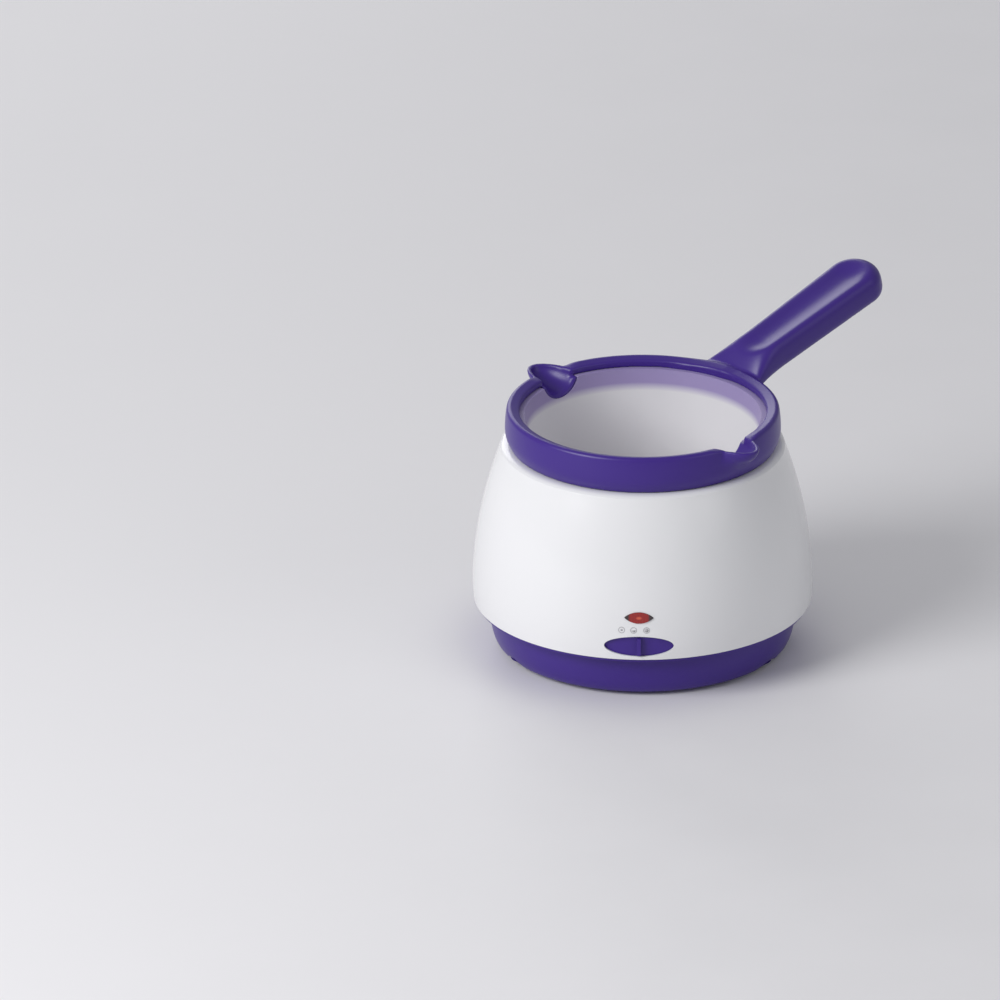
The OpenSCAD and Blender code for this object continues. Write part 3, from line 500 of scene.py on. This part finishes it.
def build_mark(name, x, shapes):
    """A thin printed mark that follows the housing's face."""
    housing = nodes["outer_housing"]
    in_front = 2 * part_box("outer_housing")[0].y
    verts, faces = [], []
    for points, quads in shapes:
        base = len(verts)
        for px, pz in points:
            start = Vector(((x + px) * MM, in_front, (mark_z + pz) * MM))
            hit = housing.ray_cast(start, Vector((0, 1, 0)))[1]
            verts.append((start.x, hit.y - mark_lift * MM, start.z))
        faces += [tuple(base + i for i in quad) for quad in quads]
    mesh = bpy.data.meshes.new(name)
    mesh.from_pydata(verts, [], faces)
    obj = finished(name, mesh)
    merge = obj.modifiers.new("weld", "WELD")
    merge.merge_threshold = mark_weld * MM
    thick = obj.modifiers.new("thickness", "SOLIDIFY")
    thick.thickness = 2 * mark_lift * MM
    thick.offset = 0
    return obj


def build_marks():
    outline = ring_faces(mark_r - mark_line, mark_r)
    insides = ([ring_faces(0.0, mark_dot_r)],
               [ring_faces(0.0, mark_disc_r, count=14, first=180)],
               [ring_faces(0.0, mark_disc_r)])
    marks = []
    for i, (px, inside) in enumerate(zip(mark_px_x, insides)):
        x = (px - axis_foot_px[0]) / photo_px_per_m / MM
        marks.append(build_mark(f"setting_mark_{i + 1}", x, [outline] + inside))
    return marks


# Materials
def new_material(name):
    mat = bpy.data.materials.new(name)
    mat.use_nodes = True
    tree = mat.node_tree
    return mat, tree.nodes, tree.links, tree.nodes["Principled BSDF"]


def object_coords(tree):
    return tree.new("ShaderNodeTexCoord").outputs["Object"]


def place(tree, links, axis):
    """The object's own X, Y or Z, in metres."""
    split = tree.new("ShaderNodeSeparateXYZ")
    links.new(object_coords(tree), split.inputs["Vector"])
    return split.outputs[axis]


def noise(tree, links, scale, detail, stretch=(1, 1, 1)):
    mapping = tree.new("ShaderNodeMapping")
    mapping.inputs["Scale"].default_value = stretch
    texture = tree.new("ShaderNodeTexNoise")
    texture.inputs["Scale"].default_value = scale
    texture.inputs["Detail"].default_value = detail
    links.new(object_coords(tree), mapping.inputs["Vector"])
    links.new(mapping.outputs["Vector"], texture.inputs["Vector"])
    return texture.outputs["Fac"]


def waves(tree, links, scale):
    """A wave texture, in bands along X until it is set to rings."""
    texture = tree.new("ShaderNodeTexWave")
    texture.inputs["Scale"].default_value = scale
    links.new(object_coords(tree), texture.inputs["Vector"])
    return texture


def ranged(tree, links, value, low, high, lowest=0.0, highest=1.0):
    """The value's span from lowest to highest, spread from low to high."""
    node = tree.new("ShaderNodeMapRange")
    node.inputs["From Min"].default_value = lowest
    node.inputs["From Max"].default_value = highest
    node.inputs["To Min"].default_value = low
    node.inputs["To Max"].default_value = high
    links.new(value, node.inputs["Value"])
    return node.outputs["Result"]


def arithmetic(tree, links, operation, first, second):
    node = tree.new("ShaderNodeMath")
    node.operation = operation
    for socket, value in zip(node.inputs, (first, second)):
        if isinstance(value, (int, float)):
            socket.default_value = value
        else:
            links.new(value, socket)
    return node.outputs["Value"]


def two_tone(tree, links, value, first, second, start=0.3, end=0.7):
    ramp = tree.new("ShaderNodeValToRGB")
    ramp.color_ramp.elements[0].position = start
    ramp.color_ramp.elements[1].position = end
    ramp.color_ramp.elements[0].color = [*first, 1]
    ramp.color_ramp.elements[1].color = [*second, 1]
    links.new(value, ramp.inputs["Fac"])
    return ramp.outputs["Color"]


def blend_colour(tree, links, factor, first, second):
    """A mix of two colours, through the Mix node's sockets for colours."""
    node = tree.new("ShaderNodeMix")
    node.data_type = "RGBA"
    links.new(factor, node.inputs["Factor"])
    for socket, value in zip(node.inputs[6:8], (first, second)):
        if isinstance(value, tuple):
            socket.default_value = (*value, 1)
        else:
            links.new(value, socket)
    return node.outputs[2]


def bump(tree, links, bsdf, height, strength, distance_mm, edge_mm=0.0):
    node = tree.new("ShaderNodeBump")
    node.inputs["Strength"].default_value = strength
    node.inputs["Distance"].default_value = distance_mm * MM
    links.new(height, node.inputs["Height"])
    if edge_mm:
        bevel = tree.new("ShaderNodeBevel")
        bevel.samples = 6
        bevel.inputs["Radius"].default_value = edge_mm * MM
        links.new(bevel.outputs["Normal"], node.inputs["Normal"])
    links.new(node.outputs["Normal"], bsdf.inputs["Normal"])


def shades(colour, spread):
    return [c * (1 - spread) for c in colour], [min(1, c * (1 + spread)) for c in colour]


def moulded(name, colour, roughness, grain=0.04, scale=900, mottle=0.03, coat=0.0, edge_mm=0.0,
            shine=0.5):
    """Moulded plastic: a fine surface grain, and a slight drift of colour and gloss."""
    mat, tree, links, bsdf = new_material(name)
    drift = noise(tree, links, scale=14, detail=3)
    links.new(two_tone(tree, links, drift, *shades(colour, mottle)), bsdf.inputs["Base Color"])
    gloss = ranged(tree, links, drift, roughness * 0.85, roughness * 1.15)
    links.new(gloss, bsdf.inputs["Roughness"])
    grains = noise(tree, links, scale, detail=2)
    bump(tree, links, bsdf, grains, strength=grain, distance_mm=0.4, edge_mm=edge_mm)
    bsdf.inputs["Coat Weight"].default_value = coat
    bsdf.inputs["Coat Roughness"].default_value = 0.12
    bsdf.inputs["Specular IOR Level"].default_value = shine
    return mat


def metal(name, colour, roughness, stretch=(1, 1, 1), rings=False):
    """Worked metal: brushed along one axis, or spun in fine rings about Z."""
    mat, tree, links, bsdf = new_material(name)
    bsdf.inputs["Metallic"].default_value = 1.0
    drift = noise(tree, links, scale=30, detail=4)
    links.new(two_tone(tree, links, drift, *shades(colour, 0.06)), bsdf.inputs["Base Color"])
    if rings:
        spun = waves(tree, links, scale=260)
        spun.wave_type = "RINGS"
        spun.rings_direction = "Z"
        spun.inputs["Distortion"].default_value = 0.6
        marks = spun.outputs["Fac"]
    else:
        marks = noise(tree, links, 900, 3, stretch)
    gloss = ranged(tree, links, marks, roughness * 0.8, roughness * 1.25)
    links.new(gloss, bsdf.inputs["Roughness"])
    bump(tree, links, bsdf, marks, strength=0.12, distance_mm=0.1)
    return mat


def fibrous(name, colour, spread, scale, roughness=0.9):
    """Board or felt: speckled, rough and dull."""
    mat, tree, links, bsdf = new_material(name)
    fleck = noise(tree, links, scale, detail=6, stretch=(1, 1, 3))
    tones = two_tone(tree, links, fleck, *shades(colour, spread), start=0.35, end=0.65)
    links.new(tones, bsdf.inputs["Base Color"])
    links.new(ranged(tree, links, fleck, roughness * 0.8, roughness), bsdf.inputs["Roughness"])
    bump(tree, links, bsdf, fleck, strength=0.5, distance_mm=0.3)
    return mat


def lamp_glass():
    """Clear glass, warmed by the lamp's gas."""
    mat, tree, links, bsdf = new_material("neon_glass")
    drift = noise(tree, links, scale=200, detail=2)
    tones = two_tone(tree, links, drift, (1.0, 0.62, 0.42), (1.0, 0.75, 0.6))
    links.new(tones, bsdf.inputs["Base Color"])
    links.new(ranged(tree, links, drift, 0.03, 0.09), bsdf.inputs["Roughness"])
    bsdf.inputs["Transmission Weight"].default_value = 0.85
    return mat


def silicone():
    """White silicone, with a painted lavender tint where the purple ring shows through it."""
    mat, tree, links, bsdf = new_material("liner_silicone")
    drift = noise(tree, links, scale=14, detail=3)
    plain = two_tone(tree, links, drift, (0.72, 0.71, 0.73), (0.76, 0.75, 0.77))
    # Painted show-through: the purple ring behind the translucent silicone, painted as a lavender band
    # near the top
    painted_show_through = ranged(tree, links, place(tree, links, "Z"), 0, 1,
                         (rim_z - painted_tint_start) * MM, (rim_z - painted_tint_full) * MM)
    painted_show_through_colour = blend_colour(tree, links, painted_show_through, plain, (0.33, 0.27, 0.50))
    links.new(painted_show_through_colour, bsdf.inputs["Base Color"])
    links.new(ranged(tree, links, drift, 0.42, 0.55), bsdf.inputs["Roughness"])
    grains = noise(tree, links, scale=700, detail=2)
    bump(tree, links, bsdf, grains, strength=0.06, distance_mm=0.3)
    bsdf.inputs["Subsurface Weight"].default_value = 0.15
    bsdf.inputs["Subsurface Radius"].default_value = (0.004, 0.004, 0.004)
    return mat


def painted_lens_glow(tree, links, x):
    """1 in the middle of the lens, falling to 0 at the edge of the oval where its glow is painted."""
    centre_z = sum(c.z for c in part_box("indicator_lens")) / 2
    up = arithmetic(tree, links, "SUBTRACT", place(tree, links, "Z"), centre_z)
    squares = []
    for value, size in ((x, painted_glow_w), (up, painted_glow_h)):
        share = arithmetic(tree, links, "DIVIDE", value, size * MM)
        squares.append(arithmetic(tree, links, "POWER", share, 2))
    return ranged(tree, links, arithmetic(tree, links, "ADD", *squares), 1, 0)


def jewel():
    """Ribbed red lamp lens, with a painted glow in the middle and painted shade towards its corners."""
    mat, tree, links, bsdf = new_material("lamp_lens")
    x = place(tree, links, "X")
    # Painted shade: the lens darkens towards its ends, where the opening's walls would shade it
    far = arithmetic(tree, links, "ABSOLUTE", x, 0)
    painted_corner_shade = ranged(tree, links, far, 0, 1, lens_painted_shade_start * MM, lens_painted_shade_full * MM)
    red = blend_colour(tree, links, painted_corner_shade, (0.30, 0.010, 0.008), (0.035, 0.024, 0.028))
    links.new(red, bsdf.inputs["Base Color"])
    # Painted glow: the lamp's light shown as an emitting orange oval in the lens's middle
    spot = painted_lens_glow(tree, links, x)
    painted_glow_colour = blend_colour(tree, links, spot, (0.0, 0.0, 0.0), (0.9, 0.25, 0.12))
    links.new(painted_glow_colour, bsdf.inputs["Emission Color"])
    bsdf.inputs["Emission Strength"].default_value = 0.3
    ribs = waves(tree, links, scale=420).outputs["Fac"]
    links.new(ranged(tree, links, ribs, 0.08, 0.16), bsdf.inputs["Roughness"])
    bump(tree, links, bsdf, ribs, strength=0.35, distance_mm=0.2)
    bsdf.inputs["Coat Weight"].default_value = 0.3
    bsdf.inputs["Coat Roughness"].default_value = 0.04
    return mat


def finishes():
    """One finish for each material slot of the record."""
    return {
        "white_housing": moulded("housing_white", (0.80, 0.80, 0.815), 0.24, grain=0.03, mottle=0.006,
                                 coat=0.25, edge_mm=0.3),
        "purple_plastic": moulded("collar_purple", (0.046, 0.017, 0.225), 0.33, grain=0.05,
                                  edge_mm=0.25, shine=0.4),
        "white_silicone": silicone(),
        "foot_rubber": moulded("foot_rubber", (0.012, 0.012, 0.014), 0.7, grain=0.2, scale=500),
        "screw_steel": metal("screw_steel", (0.62, 0.62, 0.64), 0.3, stretch=(1, 1, 6)),
        "plate_steel": metal("plate_steel", (0.55, 0.56, 0.58), 0.36, stretch=(1, 12, 1)),
        "well_aluminium": metal("well_aluminium", (0.72, 0.73, 0.74), 0.34, rings=True),
        "mica_board": fibrous("mica_board", (0.52, 0.42, 0.24), 0.35, 350, roughness=0.5),
        "fibre_pad": fibrous("fibre_pad", (0.76, 0.74, 0.66), 0.15, 600),
        "brown_phenolic": moulded("brown_phenolic", (0.10, 0.045, 0.022), 0.4, grain=0.1, mottle=0.2),
        "cream_ceramic": moulded("cream_ceramic", (0.74, 0.70, 0.60), 0.5, grain=0.15, scale=400),
        "black_plastic": moulded("black_plastic", (0.018, 0.018, 0.020), 0.45, grain=0.12, scale=600),
        "grey_plastic": moulded("grey_plastic", (0.60, 0.60, 0.62), 0.42, grain=0.08),
        "red_lens": jewel(),
        "lamp_glass": lamp_glass(),
        "lead_black": moulded("lead_black", (0.02, 0.02, 0.02), 0.4, grain=0.1),
        "lead_white": moulded("lead_white", (0.62, 0.60, 0.54), 0.55, grain=0.25, scale=1400),
        "lead_red": moulded("lead_red", (0.40, 0.02, 0.02), 0.4, grain=0.1),
    }


def dress(obj, mat):
    obj.data.materials.clear()
    obj.data.materials.append(mat)


# Camera and studio
def camera():
    data = bpy.data.cameras.new("camera")
    data.sensor_width = sensor_mm
    data.lens = photo_px_per_m * camera_distance / photo_side * sensor_mm
    data.clip_end = camera_far
    cam = bpy.data.objects.new("camera", data)
    bpy.context.scene.collection.objects.link(cam)
    az, el = math.radians(camera_az), math.radians(camera_el)
    ahead = Vector((-math.sin(az) * math.cos(el), math.cos(az) * math.cos(el), -math.sin(el)))
    right = Vector((math.cos(az), math.sin(az), 0))
    up = right.cross(ahead)
    foot = Vector((0, 0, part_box("rubber_feet")[0].z))
    aim = (foot - right * (axis_foot_px[0] - photo_side / 2) / photo_px_per_m
           + up * (axis_foot_px[1] - photo_side / 2) / photo_px_per_m)
    turned = Matrix((right, up, -ahead)).transposed().to_4x4()
    cam.matrix_world = Matrix.Translation(aim - ahead * camera_distance) @ turned
    bpy.context.scene.camera = cam


def area_light(name, spot, width, watts):
    data = bpy.data.lights.new(name, "AREA")
    data.shape = "DISK"
    data.size = width
    data.energy = watts
    light = bpy.data.objects.new(name, data)
    light.location = spot
    light.rotation_euler = (Vector(lamp_aim) - Vector(spot)).to_track_quat("-Z", "Y").to_euler()
    bpy.context.scene.collection.objects.link(light)


def studio():
    floor_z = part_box("rubber_feet")[0].z
    corners = [(x * floor_half, y * floor_half, floor_z) for x, y in ((-1, -1), (1, -1), (1, 1), (-1, 1))]
    mesh = bpy.data.meshes.new("floor")
    mesh.from_pydata(corners, [], [(0, 1, 2, 3)])
    floor = finished("floor", mesh)
    dress(floor, moulded("floor_paper", (0.80, 0.79, 0.81), 0.6, grain=0.0, mottle=0.01))
    world = bpy.data.worlds.new("studio")
    world.use_nodes = True
    back = world.node_tree.nodes["Background"]
    back.inputs["Color"].default_value = (*world_colour, 1)
    back.inputs["Strength"].default_value = world_strength
    bpy.context.scene.world = world
    for name, (spot, width, watts) in lamps.items():
        area_light(name, spot, width, watts)


# The part
camera()
studio()
finish = finishes()

collar = build_collar()
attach(collar, "pot")
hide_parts("pot_collar")
dress(collar, finish["purple_plastic"])

pan = build_pan()
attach(pan, "base")
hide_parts("base_pan")
dress(pan, finish["purple_plastic"])
soften(pan, crease_deg)

mark_ink = moulded("mark_ink", (0.42, 0.41, 0.43), 0.5, grain=0.05)
for mark in build_marks():
    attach(mark, "base")
    dress(mark, mark_ink)

for name, obj in nodes.items():
    dress(obj, finish[obj.data.materials[0].name.split(".")[0]])
    if name not in ("pot_collar", "base_pan"):
        soften(obj, crease_deg)

bpy.context.scene.view_settings.view_transform = "Standard"
